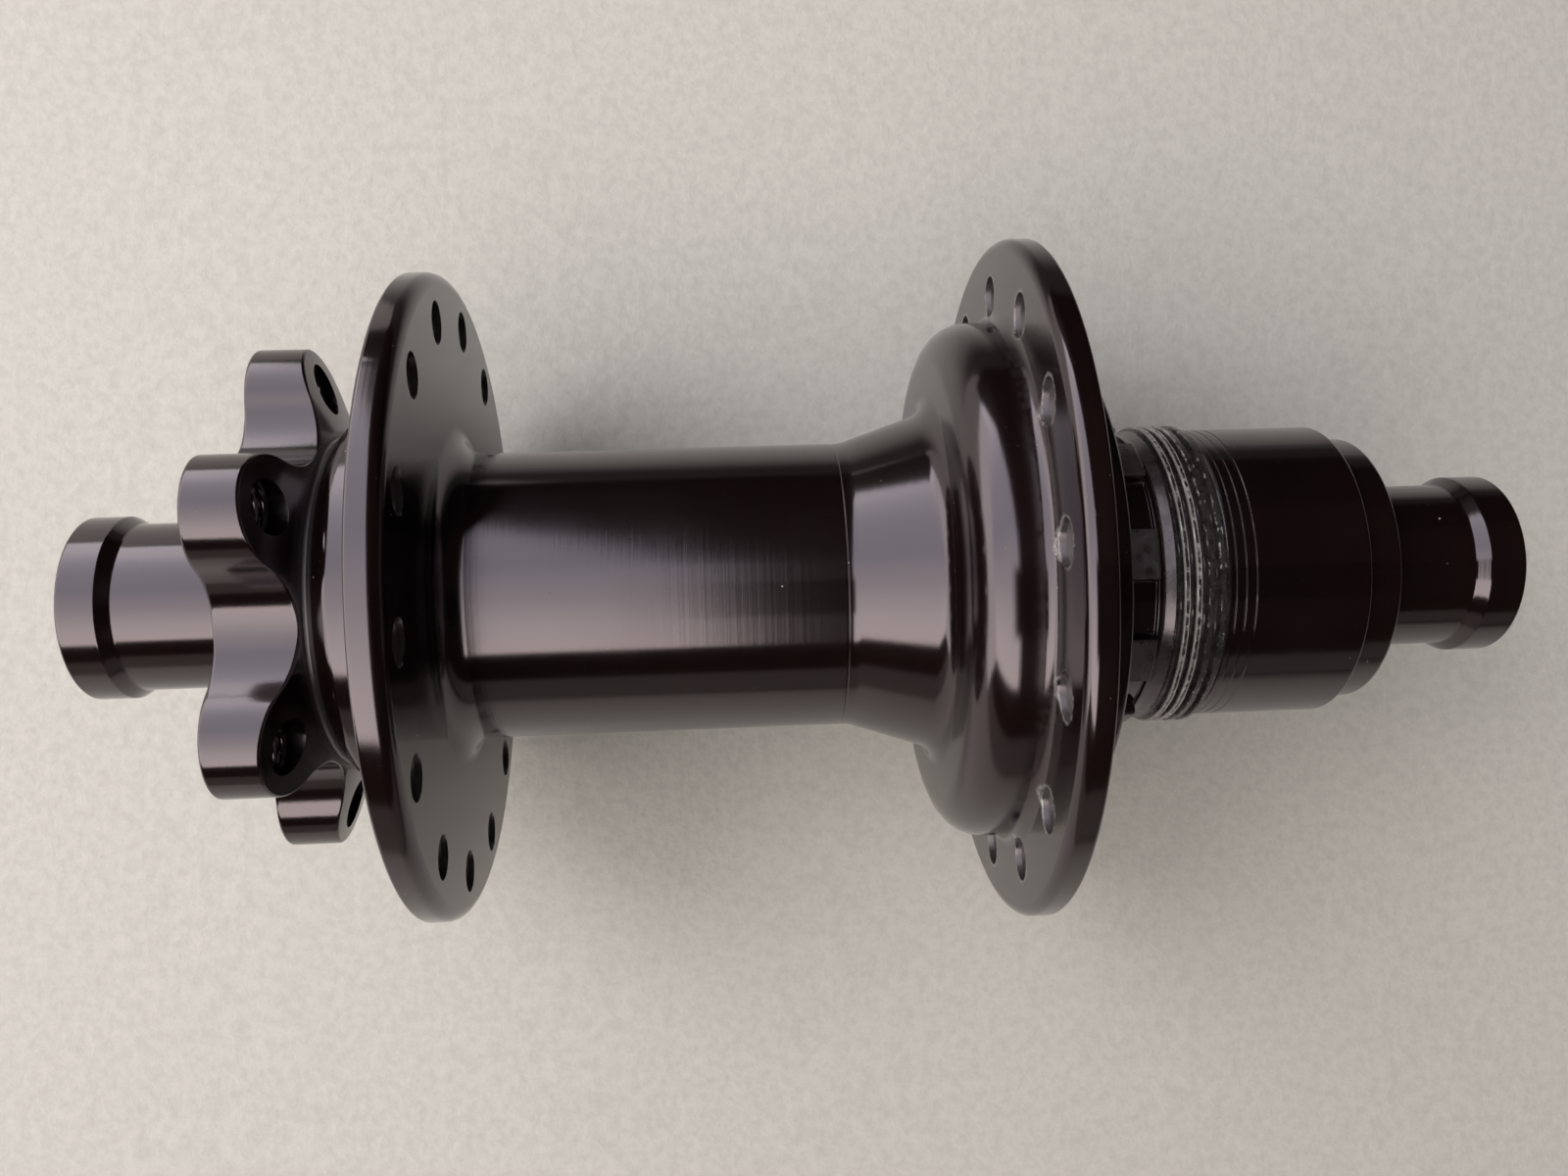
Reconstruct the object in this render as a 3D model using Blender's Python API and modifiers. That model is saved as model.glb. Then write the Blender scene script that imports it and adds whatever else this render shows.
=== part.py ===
"""Rear bicycle hub for a six-bolt disc rotor and a threaded, splined cassette driver.

The hub is designed in a bench frame: a is the distance along the axle (disc side negative, drive side
positive), r the distance from the axle's centre line, and an angle is measured from the top of the hub
towards its front. An empty on the axle turns the bench frame into the hub's own: +Y points to the disc
side, +X to the front of the bicycle and +Z up. Lengths are millimetres here, and metres in the scene.
"""

import math

import bmesh
import bpy

MM = 0.001
COLLECTION = "rear_hub"

# ---- driving dimensions, in millimetres and degrees ----
HALF_WIDTH = 74.0  # centre to dropout face: 148 mm between dropouts
THRU_AXLE_R = 6.15  # clearance for the 12 mm thru axle
GAP = 0.3  # air left between pieces that touch

COLLAR_R = 9.5  # 19 mm end cap faces
COLLAR_END = 70.2
SHAFT_R = 8.7
SHAFT_START = 69.2

ROTOR_FACE = -55.7
ROTOR_BOLT_R = 22.0  # 44 mm bolt circle
ROTOR_BOLTS = 6
ROTOR_BOLT_HOLE_R = 2.15
ROTOR_PHASE = 22.9
LOBE_R = 5.5  # round end of each rotor lobe
LOBE_TIP = 26.15
VALLEY_R = 17.85
ROTOR_BACK = -47.6  # the neck is thinnest here, where the lobes' back faces start
ROTOR_NECK_R = 19.75

FLANGE_SPOKES = 14
SPOKE_HOLE_R = 1.35
DISC_FLANGE = (-39.35, -36.2)
DISC_FLANGE_R = 33.4
DISC_SPOKE_R = 28.7
DISC_SPOKE_PHASE = -7.35
DRIVE_FLANGE = (20.1, 22.9)
DRIVE_FLANGE_R = 35.5
DRIVE_SPOKE_R = 29.9
DRIVE_SPOKE_PHASE = 5.5

BARREL_R = 15.0
CONE_START = 3.8
CONE_R = 18.1
BELL_FACE = 13.0
BELL_R = 27.2
BOSS_R = 23.8
BOSS_END = 28.0

AXLE_END = 66.0
AXLE_R = 7.2
AXLE_SHOULDER_R = 9.1

LARGE_BEARING = {"bore": 7.5, "out": 14.0, "inner": 9.0, "outer": 12.5, "width": 7.0, "ball": 1.45, "balls": 7}
SMALL_BEARING = {"bore": 7.5, "out": 12.0, "inner": 8.6, "outer": 10.9, "width": 5.0, "ball": 0.85, "balls": 8}
DISC_BEARING = -54.4  # the a of each bearing's disc-side face
SHELL_BEARING = 7.0
DRIVER_INNER_BEARING = 16.9
DRIVER_OUTER_BEARING = 53.0

DRIVER_START = 16.0
CARRIER_R = 17.9
CARRIER_END = 23.2
NECK_R = 17.0
NECK_END = 28.8
SPLINE_R = 16.1
SPLINE_ROOT_R = 14.7
SPLINES = 9
SPLINE_GROOVE_W = 6.0
SPLINE_END = 33.2
SPLINE_PHASE = 6.9
RELIEF_R = 15.1
THREAD_START = 35.3
THREAD_R = 15.6
DRIVER_R = 15.4
THREAD_END = 40.2
DRIVER_STEP = 54.5
DRIVER_STEP_R = 14.0
DRIVER_END = 58.3

RING_R = 21.3
RING_ROOT_R = 19.7
RING_TIP_R = 18.4
RING_TEETH = 48
RING_SPAN = (16.3, 23.1)
SHELL_BORE_R = 21.6

PAWLS = 4
PAWL_SPAN = (17.5, 22.3)
PAWL_PIVOT_R = 16.7
PAWL_PIVOT_ANGLE = 20.0  # from the tooth face that the pawl's tip meets
PAWL_FOLD = 12.0  # how far the pawl swings from folded to engaged
POCKET_FLOOR_R = 15.1

ROUND = 36  # facets round the shell and the driver
SMALL_ROUND = 24  # facets round the axle and the races
TINY_ROUND = 16  # facets round seals and cages


# ---- materials ----
def material(name, colour, roughness, metallic):
    made = bpy.data.materials.new(name)
    made.use_nodes = True
    shader = made.node_tree.nodes["Principled BSDF"]
    shader.inputs["Base Color"].default_value = (*colour, 1.0)
    shader.inputs["Roughness"].default_value = roughness
    shader.inputs["Metallic"].default_value = metallic
    return made


def make_palette():
    return {
        "black_anodised": material("black_anodised", (0.022, 0.020, 0.023), 0.25, 0.9),
        "bare_aluminium": material("bare_aluminium", (0.75, 0.75, 0.77), 0.3, 1.0),
        "bearing_steel": material("bearing_steel", (0.62, 0.62, 0.63), 0.15, 1.0),
        "tool_steel": material("tool_steel", (0.35, 0.34, 0.33), 0.35, 1.0),
        "spring_steel": material("spring_steel", (0.45, 0.46, 0.5), 0.25, 1.0),
        "black_rubber": material("black_rubber", (0.015, 0.015, 0.015), 0.7, 0.0),
    }


# ---- building blocks ----
def polar(radius, angle):
    """A point of the bench frame's cross-section; angle 0 is the top, and grows towards the front."""
    turn = math.radians(angle)
    return radius * math.sin(turn), radius * math.cos(turn)


def arc(centre, radius, start, end, steps):
    """Points round part of a circle in the (a, r) plane; 0 degrees is +a, and 90 degrees is +r."""
    points = []
    for step in range(steps + 1):
        turn = math.radians(start + (end - start) * step / steps)
        points.append((centre[0] + radius * math.cos(turn), centre[1] + radius * math.sin(turn)))
    return points


def signed_area(points):
    closed = zip(points, points[1:] + points[:1])
    return 0.5 * sum(p[0] * q[1] - q[0] * p[1] for p, q in closed)


def smooth(mesh):
    mesh.shade_smooth()
    mesh.set_sharp_from_angle(angle=math.radians(30))


def put(name, mesh, paint, parts):
    """Makes one sub-part from a mesh, hung on the empty that lies along the axle."""
    made = bpy.data.objects.new(name, mesh)
    if paint:
        mesh.materials.append(paint)
    parts["collection"].objects.link(made)
    made.parent = parts["axis"]
    return made


def turned(name, outline, paint, parts, facets=SMALL_ROUND):
    """A turned sub-part: a closed outline of (a, r) points, swept once round the axle by a Screw."""
    points = list(outline)
    if signed_area(points) > 0:
        points.reverse()
    sketch = bmesh.new()
    corners = [sketch.verts.new((r * MM, 0.0, a * MM)) for a, r in reversed(points)]
    for start, end in zip(corners, corners[1:] + corners[:1]):
        sketch.edges.new((start, end))
    mesh = bpy.data.meshes.new(name)
    sketch.to_mesh(mesh)
    sketch.free()
    made = put(name, mesh, paint, parts)
    sweep = made.modifiers.new("turn", "SCREW")
    sweep.steps = facets
    sweep.render_steps = facets
    sweep.use_merge_vertices = True
    sweep.merge_threshold = 0.00001
    return made


def sleeve(name, span, radii, paint, parts, facets=SMALL_ROUND):
    """A plain ring between two radii."""
    outline = [(span[0], radii[0]), (span[0], radii[1]), (span[1], radii[1]), (span[1], radii[0])]
    return turned(name, outline, paint, parts, facets)


def prism(name, outline, span, paint, parts, holes=()):
    """A flat outline of (x, y) points, filled and given the thickness of a span along the axle."""
    sketch = bpy.data.curves.new(name, "CURVE")
    sketch.dimensions = "2D"
    sketch.fill_mode = "BOTH"
    sketch.extrude = 0.5 * (span[1] - span[0]) * MM
    for loop in (outline, *holes):
        spline = sketch.splines.new("POLY")
        spline.points.add(len(loop) - 1)
        spline.use_cyclic_u = True
        for point, (x, y) in zip(spline.points, loop):
            point.co = (x * MM, y * MM, 0.0, 1.0)
    guide = bpy.data.objects.new(name + "_sketch", sketch)
    parts["cutters"].objects.link(guide)
    mesh = bpy.data.meshes.new_from_object(guide.evaluated_get(bpy.context.evaluated_depsgraph_get()))
    bpy.data.objects.remove(guide)
    body = bmesh.new()
    body.from_mesh(mesh)
    bmesh.ops.remove_doubles(body, verts=body.verts, dist=0.000005)
    bmesh.ops.recalc_face_normals(body, faces=body.faces)
    bmesh.ops.translate(body, verts=body.verts, vec=(0.0, 0.0, 0.5 * (span[0] + span[1]) * MM))
    body.to_mesh(mesh)
    body.free()
    return put(name, mesh, paint, parts)


def to_cutter(made, parts):
    parts["collection"].objects.unlink(made)
    parts["cutters"].objects.link(made)
    made.hide_render = True
    made.display_type = "WIRE"
    return made


def combine(made, other, operation):
    """Cuts or joins with a Boolean that stays on the object."""
    step = made.modifiers.new(other.name, "BOOLEAN")
    step.operation = operation
    step.solver = "EXACT"
    step.object = other
    return made


def drilled(name, radius, span, places, parts, facets=12):
    """A cutter of straight holes along the axle, at (radius from the axle, angle) places."""
    drill = bmesh.new()
    for place_radius, angle in places:
        x, y = polar(place_radius, angle)
        made = bmesh.ops.create_cone(
            drill,
            cap_ends=True,
            segments=facets,
            radius1=radius * MM,
            radius2=radius * MM,
            depth=(span[1] - span[0]) * MM,
        )
        middle = 0.5 * (span[0] + span[1])
        bmesh.ops.translate(drill, verts=made["verts"], vec=(x * MM, y * MM, middle * MM))
    mesh = bpy.data.meshes.new(name)
    drill.to_mesh(mesh)
    drill.free()
    return to_cutter(put(name, mesh, None, parts), parts)


def ring_of(count, phase):
    return [phase + 360.0 * step / count for step in range(count)]


# ---- hub shell ----
def shell_outline():
    """The shell's turned outline: outside from the drive side to the disc side, then back through the bore."""
    disc_out, disc_in = DISC_FLANGE
    drive_in, drive_out = DRIVE_FLANGE
    outside = [(BOSS_END, BOSS_R - 0.6), (BOSS_END - 0.6, BOSS_R), (drive_out + 0.6, BOSS_R)]
    outside += [(drive_out, BOSS_R + 0.6), (drive_out, DRIVE_FLANGE_R - 0.4), (drive_out - 0.4, DRIVE_FLANGE_R)]
    outside += arc((drive_in + 1.1, DRIVE_FLANGE_R - 1.1), 1.1, 90, 180, 2)
    outside += arc((drive_in - 0.9, BELL_R + 0.9), 0.9, 0, -90, 2)
    outside += arc((BELL_FACE + 4.6, BELL_R - 4.6), 4.6, 90, 180, 5)
    outside += arc((BELL_FACE - 2.2, CONE_R + 1.6), 2.2, 0, -71, 3)
    outside += [(CONE_START, BARREL_R), (disc_in + 2.8, BARREL_R)]
    outside += arc((disc_in + 2.8, BARREL_R + 2.8), 2.8, -90, -180, 3)[1:]
    outside += arc((disc_in - 1.0, DISC_FLANGE_R - 1.0), 1.0, 0, 90, 2)
    outside += [(disc_out + 0.4, DISC_FLANGE_R), (disc_out, DISC_FLANGE_R - 0.4)]
    outside += [(disc_out, ROTOR_NECK_R + 0.5), (disc_out - 0.5, ROTOR_NECK_R), (-44.8, ROTOR_NECK_R - 0.2)]
    outside += [(-45.3, 19.3), (-47.3, 17.1), (ROTOR_BACK, 17.0), (-47.75, 17.3)]
    outside += [(-50.3, LOBE_TIP - 0.2), (-50.5, LOBE_TIP), (ROTOR_FACE + 0.3, LOBE_TIP)]
    outside.append((ROTOR_FACE, LOBE_TIP - 0.3))
    pocket = LARGE_BEARING["out"] + GAP
    disc_shoulder = DISC_BEARING + LARGE_BEARING["width"] + GAP
    bearing_end = SHELL_BEARING - GAP
    inside = [(ROTOR_FACE, pocket), (disc_shoulder, pocket), (disc_shoulder, 12.0)]
    inside += [(bearing_end, 12.0), (bearing_end, pocket), (14.6, pocket)]
    inside += [(15.7, SHELL_BORE_R), (BOSS_END, SHELL_BORE_R)]
    return outside + inside


def lobed_outline(steps=5):
    """The rotor mount's outline: a round lobe over each bolt, and a hollow that is tangent to both lobes."""
    lobe_centre = LOBE_TIP - LOBE_R
    half = math.radians(180.0 / ROTOR_BOLTS)
    # The hollow's radius follows from touching both lobes and from its lowest point at VALLEY_R.
    hollow = (lobe_centre**2 + VALLEY_R**2 - 2 * lobe_centre * VALLEY_R * math.cos(half) - LOBE_R**2) / (
        2 * (LOBE_R - VALLEY_R + lobe_centre * math.cos(half))
    )
    hollow_centre = VALLEY_R + hollow
    across = hollow_centre * math.sin(half)
    along = hollow_centre * math.cos(half) - lobe_centre
    touch = math.degrees(math.atan2(across, along))
    points = []
    for middle in ring_of(ROTOR_BOLTS, ROTOR_PHASE):
        centre = polar(lobe_centre, middle)
        for step in range(-steps, steps + 1):
            offset = polar(LOBE_R, middle + touch * step / steps)
            points.append((centre[0] + offset[0], centre[1] + offset[1]))
        valley = middle + 180.0 / ROTOR_BOLTS
        centre = polar(hollow_centre, valley)
        sweep = touch - 180.0 / ROTOR_BOLTS
        for step in range(1 - steps, steps):
            offset = polar(hollow, valley + 180.0 - sweep * step / steps)
            points.append((centre[0] + offset[0], centre[1] + offset[1]))
    return points


def make_shell(palette, parts):
    shell = turned("hub_shell", shell_outline(), palette["black_anodised"], parts, ROUND)
    rim = [polar(30.0, angle) for angle in ring_of(ROUND, 0.0)]
    waste = prism("rotor_lobe_waste", rim, (-60.0, ROTOR_BACK + 0.1), None, parts, holes=[lobed_outline()])
    combine(shell, to_cutter(waste, parts), "DIFFERENCE")
    bolts = [(ROTOR_BOLT_R, angle) for angle in ring_of(ROTOR_BOLTS, ROTOR_PHASE)]
    bolt_span = (ROTOR_FACE - 1.0, ROTOR_BACK)
    combine(shell, drilled("rotor_bolt_drill", ROTOR_BOLT_HOLE_R, bolt_span, bolts, parts), "DIFFERENCE")
    flanges = (
        ("disc_spoke_drill", DISC_FLANGE, DISC_SPOKE_R, DISC_SPOKE_PHASE),
        ("drive_spoke_drill", DRIVE_FLANGE, DRIVE_SPOKE_R, DRIVE_SPOKE_PHASE),
    )
    for name, span, radius, phase in flanges:
        places = [(radius, angle) for angle in ring_of(FLANGE_SPOKES, phase)]
        drill = drilled(name, SPOKE_HOLE_R, (span[0] - 1.0, span[1] + 1.0), places, parts, facets=8)
        combine(shell, drill, "DIFFERENCE")
    sleeve("disc_side_dust_shield", (-55.5, -54.7), (9.1, 14.0), palette["black_rubber"], parts)
    sleeve("driver_lip_seal", (24.2, 27.2), (NECK_R + GAP, RING_R), palette["black_rubber"], parts, ROUND)


# ---- axle, end caps ----
def make_axle(palette, parts):
    left_shoulder = DISC_BEARING + LARGE_BEARING["width"] + GAP
    right_shoulder = SHELL_BEARING - GAP
    outline = [(AXLE_END, AXLE_R - 0.3), (AXLE_END - 0.3, AXLE_R)]
    groove = 63.0
    for side in (1, -1):
        marks = [(groove + 0.7, AXLE_R), (groove + 0.7, 6.65), (groove - 0.7, 6.65), (groove - 0.7, AXLE_R)]
        if side > 0:
            outline += marks
            outline += [(right_shoulder, AXLE_R), (right_shoulder, AXLE_SHOULDER_R)]
            outline += [(left_shoulder, AXLE_SHOULDER_R), (left_shoulder, AXLE_R)]
        else:
            outline += [(-a, r) for a, r in reversed(marks)]
    outline += [(0.3 - AXLE_END, AXLE_R), (-AXLE_END, AXLE_R - 0.3)]
    outline += [(-AXLE_END, THRU_AXLE_R), (AXLE_END, THRU_AXLE_R)]
    turned("axle_tube", outline, palette["bare_aluminium"], parts)
    for name, side, inner_end in (
        ("end_cap_disc_side", -1, 0.3 - DISC_BEARING),
        ("end_cap_drive_side", 1, DRIVER_OUTER_BEARING + SMALL_BEARING["width"] + GAP),
    ):
        cap = [(inner_end, 8.0), (inner_end, SHAFT_R), (SHAFT_START, SHAFT_R), (COLLAR_END - 0.2, COLLAR_R)]
        cap += [(HALF_WIDTH - 0.3, COLLAR_R), (HALF_WIDTH, COLLAR_R - 0.3), (HALF_WIDTH, THRU_AXLE_R)]
        cap += [(AXLE_END + GAP, THRU_AXLE_R), (AXLE_END + GAP, 8.0)]
        turned(name, [(side * a, r) for a, r in cap], palette["black_anodised"], parts)
        o_ring = arc((side * groove, 7.3), 0.34, 0, 270, 3)
        turned(name.replace("end_cap", "o_ring"), o_ring, palette["black_rubber"], parts)
    driver_shoulder = DRIVER_INNER_BEARING - GAP
    shell_bearing_end = SHELL_BEARING + LARGE_BEARING["width"] + GAP
    bushes = (
        ("bearing_spacer", (shell_bearing_end, driver_shoulder)),
        ("driver_spacer_tube", (DRIVER_INNER_BEARING + LARGE_BEARING["width"] + GAP, DRIVER_OUTER_BEARING - GAP)),
    )
    for name, span in bushes:
        sleeve(name, span, (AXLE_R + GAP, 8.7), palette["bare_aluminium"], parts)


# ---- bearings ----
def make_bearing(prefix, start, size, palette, parts):
    """A cartridge bearing: two races, a caged row of balls and a seal on each face."""
    span = (start, start + size["width"])
    middle = start + 0.5 * size["width"]
    pitch = 0.5 * (size["inner"] + size["outer"])
    sleeve(prefix + "_inner_race", span, (size["bore"], size["inner"]), palette["bearing_steel"], parts)
    sleeve(prefix + "_outer_race", span, (size["outer"], size["out"]), palette["bearing_steel"], parts)
    seal_radii = (size["inner"] + GAP, size["outer"] - GAP)
    sides = (("seal_disc_side", start + 0.1), ("seal_drive_side", span[1] - 0.6))
    for side, place in sides:
        seal_span = (place, place + 0.5)
        sleeve(f"{prefix}_{side}", seal_span, seal_radii, palette["black_rubber"], parts, TINY_ROUND)
    reach = 0.5 * size["width"] - 1.0 - size["ball"] * 0.25
    cage = sleeve(
        prefix + "_balls_and_cage",
        (middle - reach, middle + reach),
        (pitch - 0.45, pitch + 0.45),
        palette["bearing_steel"],
        parts,
        TINY_ROUND,
    )
    row = bmesh.new()
    for angle in ring_of(size["balls"], 0.0):
        x, y = polar(pitch, angle)
        ball = bmesh.ops.create_uvsphere(row, u_segments=6, v_segments=4, radius=size["ball"] * MM)
        bmesh.ops.translate(row, verts=ball["verts"], vec=(x * MM, y * MM, middle * MM))
    mesh = bpy.data.meshes.new(prefix + "_ball_row")
    row.to_mesh(mesh)
    row.free()
    balls = to_cutter(put(prefix + "_ball_row", mesh, None, parts), parts)
    combine(cage, balls, "UNION")


# ---- cassette driver, ratchet ring, pawls ----
def driver_outline():
    outside = [(DRIVER_END, DRIVER_STEP_R - 0.5), (DRIVER_END - 0.5, DRIVER_STEP_R), (DRIVER_STEP, DRIVER_STEP_R)]
    outside += [(DRIVER_STEP, DRIVER_R - 0.2), (DRIVER_STEP - 0.2, DRIVER_R), (THREAD_END, DRIVER_R)]
    outside += [(THREAD_END - 0.3, THREAD_R), (THREAD_START + 0.4, THREAD_R), (THREAD_START, RELIEF_R)]
    outside += [(SPLINE_END, RELIEF_R), (SPLINE_END, SPLINE_R - 0.3), (SPLINE_END - 0.3, SPLINE_R)]
    outside += [(NECK_END, SPLINE_R), (NECK_END, NECK_R), (CARRIER_END, NECK_R), (CARRIER_END, CARRIER_R)]
    outside += [(DRIVER_START, CARRIER_R)]
    inner_pocket = LARGE_BEARING["out"] + GAP
    outer_pocket = SMALL_BEARING["out"] + GAP
    inner_end = DRIVER_INNER_BEARING + LARGE_BEARING["width"] + GAP
    outer_start = DRIVER_OUTER_BEARING - GAP
    inside = [(DRIVER_START, inner_pocket), (inner_end, inner_pocket), (inner_end, 10.5)]
    inside += [(outer_start, 10.5), (outer_start, outer_pocket), (DRIVER_END, outer_pocket)]
    return outside + inside


def sector(radii, angles, steps=4):
    """The outline of a slice of a ring."""
    outer = [polar(radii[1], angles[0] + (angles[1] - angles[0]) * s / steps) for s in range(steps + 1)]
    inner = [polar(radii[0], angles[1] + (angles[0] - angles[1]) * s / steps) for s in range(steps + 1)]
    return outer + inner


def make_driver(palette, parts):
    driver = turned("cassette_driver", driver_outline(), palette["black_anodised"], parts, ROUND)
    for number, angle in enumerate(ring_of(SPLINES, SPLINE_PHASE + 180.0 / SPLINES)):
        half = math.degrees(math.asin(0.5 * SPLINE_GROOVE_W / SPLINE_R))
        groove = sector((SPLINE_ROOT_R, 18.0), (angle - half, angle + half), 2)
        cutter = prism(f"spline_groove_{number + 1}", groove, (NECK_END - 0.1, SPLINE_END + 0.2), None, parts)
        combine(driver, to_cutter(cutter, parts), "DIFFERENCE")
    for number, angle in enumerate(ring_of(PAWLS, 0.0)):
        pocket = sector((POCKET_FLOOR_R, 19.0), (angle - 3.0, angle + PAWL_PIVOT_ANGLE + 6.0))
        span = (PAWL_SPAN[0] - GAP, PAWL_SPAN[1] + GAP)
        cutter = prism(f"pawl_pocket_{number + 1}", pocket, span, None, parts)
        combine(driver, to_cutter(cutter, parts), "DIFFERENCE")
        strip = sector((POCKET_FLOOR_R + 0.3, POCKET_FLOOR_R + 0.55), (angle + 1.0, angle + 13.0))
        leaf = (PAWL_SPAN[0] + 1.2, PAWL_SPAN[1] - 1.2)
        prism(f"pawl_spring_{number + 1}", strip, leaf, palette["spring_steel"], parts)


def make_ratchet_ring(palette, parts):
    """A ring with inward saw teeth: a long ramp, and a steep face that the pawls push on."""
    pitch = 360.0 / RING_TEETH
    inner = []
    for start in ring_of(RING_TEETH, 0.0):
        inner.append(polar(RING_ROOT_R, start))
        inner.append(polar(RING_TIP_R, start + 0.80 * pitch))
        inner.append(polar(RING_TIP_R, start + 0.94 * pitch))
    rim = [polar(RING_R, angle) for angle in ring_of(ROUND, 0.0)]
    prism("ratchet_ring", rim, RING_SPAN, palette["tool_steel"], parts, holes=[inner])


def pawl_outline():
    """One pawl as it lies when engaged, about its own pivot; its tip meets the tooth face at angle 0."""
    tip_and_back = [(19.0, 1.6), (18.2, 5.2), (17.85, 9.0)]
    underside = [(16.6, 10.0), (17.3, 5.5), (17.7, 1.6)]
    pivot = polar(PAWL_PIVOT_R, PAWL_PIVOT_ANGLE)
    boss = []
    for step in range(7):
        x, y = polar(1.2, PAWL_PIVOT_ANGLE + 180.0 * step / 6)
        boss.append((pivot[0] + x, pivot[1] + y))
    points = [polar(*p) for p in tip_and_back] + boss + [polar(*p) for p in underside]
    return [(x - pivot[0], y - pivot[1]) for x, y in points]


def make_pawls(palette, parts):
    """Each pawl hangs on its pivot and is stored folded, clear of the ratchet teeth."""
    for number, angle in enumerate(ring_of(PAWLS, 0.0)):
        pawl = prism(f"pawl_{number + 1}", pawl_outline(), PAWL_SPAN, palette["tool_steel"], parts)
        x, y = polar(PAWL_PIVOT_R, PAWL_PIVOT_ANGLE + angle)
        pawl.location = (x * MM, y * MM, 0.0)
        pawl.rotation_euler = (0.0, 0.0, math.radians(PAWL_FOLD - angle))


def main():
    for old in list(bpy.data.objects):
        bpy.data.objects.remove(old)
    collection = bpy.data.collections.new(COLLECTION)
    cutters = bpy.data.collections.new(COLLECTION + "_cutters")
    bpy.context.scene.collection.children.link(collection)
    bpy.context.scene.collection.children.link(cutters)
    axis = bpy.data.objects.new("axle_line", None)
    axis.rotation_euler = (math.radians(90.0), 0.0, 0.0)
    collection.objects.link(axis)
    parts = {"collection": collection, "cutters": cutters, "axis": axis}
    palette = make_palette()
    make_shell(palette, parts)
    make_axle(palette, parts)
    bearings = (
        ("disc_side_bearing", DISC_BEARING, LARGE_BEARING),
        ("shell_drive_bearing", SHELL_BEARING, LARGE_BEARING),
        ("driver_inboard_bearing", DRIVER_INNER_BEARING, LARGE_BEARING),
        ("driver_outboard_bearing", DRIVER_OUTER_BEARING, SMALL_BEARING),
    )
    for prefix, start, size in bearings:
        make_bearing(prefix, start, size, palette, parts)
    make_driver(palette, parts)
    make_ratchet_ring(palette, parts)
    make_pawls(palette, parts)
    for made in collection.objects:
        if made.type == "MESH":
            smooth(made.data)


main()
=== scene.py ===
"""The looks of a six-bolt rear bicycle hub with a threaded, splined cassette driver.

Lengths are millimetres and angles degrees until a mesh is made, which is in metres. Along the axle, a is
negative on the disc side and positive on the drive side, r is the distance from the axle's centre line, and
an angle starts at the top of the hub and grows towards its front. In the scene, a point lies at
(r sin angle, -a, r cos angle).
"""

import math

import bpy
from mathutils import Matrix, Vector


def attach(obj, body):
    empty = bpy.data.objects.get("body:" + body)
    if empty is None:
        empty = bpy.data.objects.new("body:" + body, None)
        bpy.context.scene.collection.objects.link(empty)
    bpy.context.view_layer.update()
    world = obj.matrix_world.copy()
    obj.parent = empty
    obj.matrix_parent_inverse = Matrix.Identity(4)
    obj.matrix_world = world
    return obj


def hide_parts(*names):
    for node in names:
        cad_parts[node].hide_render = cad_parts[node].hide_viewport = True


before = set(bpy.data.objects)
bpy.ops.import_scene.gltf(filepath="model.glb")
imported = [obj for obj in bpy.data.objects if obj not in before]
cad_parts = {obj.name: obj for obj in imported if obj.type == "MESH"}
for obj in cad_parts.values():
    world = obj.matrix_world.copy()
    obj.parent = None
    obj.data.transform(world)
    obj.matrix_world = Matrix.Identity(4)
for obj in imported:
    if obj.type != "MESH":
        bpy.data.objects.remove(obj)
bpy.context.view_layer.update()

MM = 0.001
HALF_WIDTH = 74.0  # centre to dropout face

# ---- rotor mount and neck ----
ROTOR_FACE = -55.7
BOLT_CIRCLE_R = 22.0
BOLTS = 6
BOLT_PHASE = 22.9
LOBE_R = 5.5
LOBE_TIP = 26.15
VALLEY_R = 17.85
NECK_R = 20.15
NECK_END = (-45.1, 19.5)
NECK_BOTTOM = (-47.35, 17.05)
BACK_START = (-47.75, 17.3)
BACK_SLOPE = 0.31  # how far the lobes' back face leans towards the disc side for each mm outwards
BOLT_MOUTH_R = 2.3
BOLT_CREST_R = 2.13
BOLT_ROOT_R = 2.49
BOLT_PITCH = 0.8
BOLT_THREAD_END = -50.6

# ---- seats inside the shell and the driver ----
BEARING_SEAT_R = 14.3
SHELL_SEATS = (-47.1, 6.7)  # where the disc side bearing stops, and where the drive side one starts
SHELL_BORE_R = 12.0
RATCHET_SEAT = (14.6, 15.7)
RATCHET_SEAT_R = 21.6
DRIVER_SEATS = (24.2, 52.7)
DRIVER_BORE_R = 10.5
OUTBOARD_SEAT_R = 12.3
CAP_SEAT = (66.3, 8.0)

# ---- flanges and barrel ----
SPOKES = 14
DISC_FLANGE = (-39.35, -36.2)
DISC_FLANGE_R = 33.4
DISC_SPOKE = (28.7, -7.35)  # circle radius, and the angle of the first hole
DRIVE_FLANGE = (20.1, 22.9)
DRIVE_FLANGE_R = 35.5
DRIVE_SPOKE = (29.9, 5.5)
SPOKE_HOLE_R = 1.35
SPOKE_MOUTH_R = 2.12
BARREL_R = 15.0
BARREL_LINE = 2.97
CONE_START = 3.8
CONE_R = 18.1
BELL_FACE = 13.0
BELL_R = 27.2
BOSS_R = 23.8
BOSS_END = 28.0

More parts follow.
